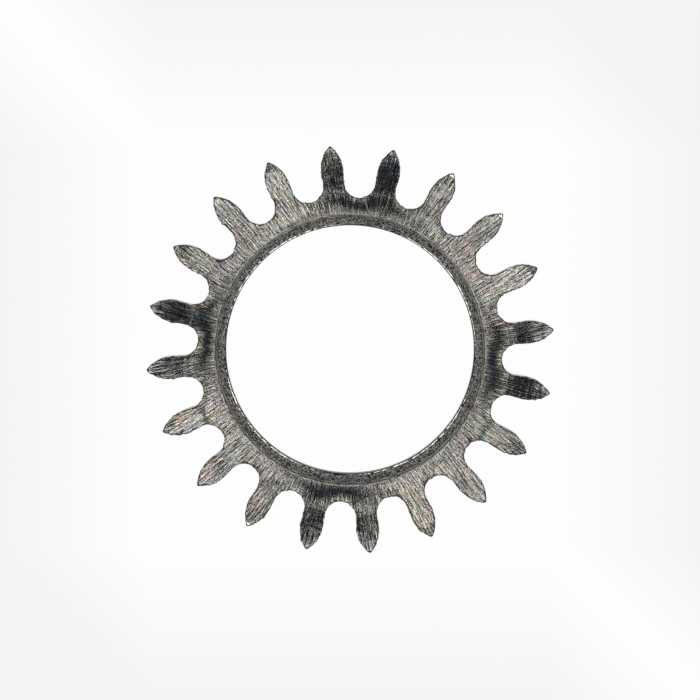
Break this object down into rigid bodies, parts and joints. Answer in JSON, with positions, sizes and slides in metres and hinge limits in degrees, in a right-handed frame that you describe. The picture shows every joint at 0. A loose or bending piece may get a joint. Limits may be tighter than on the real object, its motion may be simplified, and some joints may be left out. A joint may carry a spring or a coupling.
{
  "type": "watch crown wheel",
  "caption": "Flat steel watch crown wheel with cycloidal teeth, a wide bore and a counterbored ledge; carries the winding drive from the stem to the ratchet wheel.",
  "frame": {"origin": "on the bore's axis, in the plane of the flat underside", "axes": "+Z along the bore out of the brushed upper face; +X along the middle of one tooth; +Y along the middle of the tooth a quarter turn on"},
  "size_m": [0.005, 0.005, 0.0004],
  "materials": {
    "steel": "radially brushed upper face, matt turned ledge, smooth cut teeth"
  },
  "bodies": {
    "root": {"crown_wheel": "steel"}
  },
  "joints": []
}
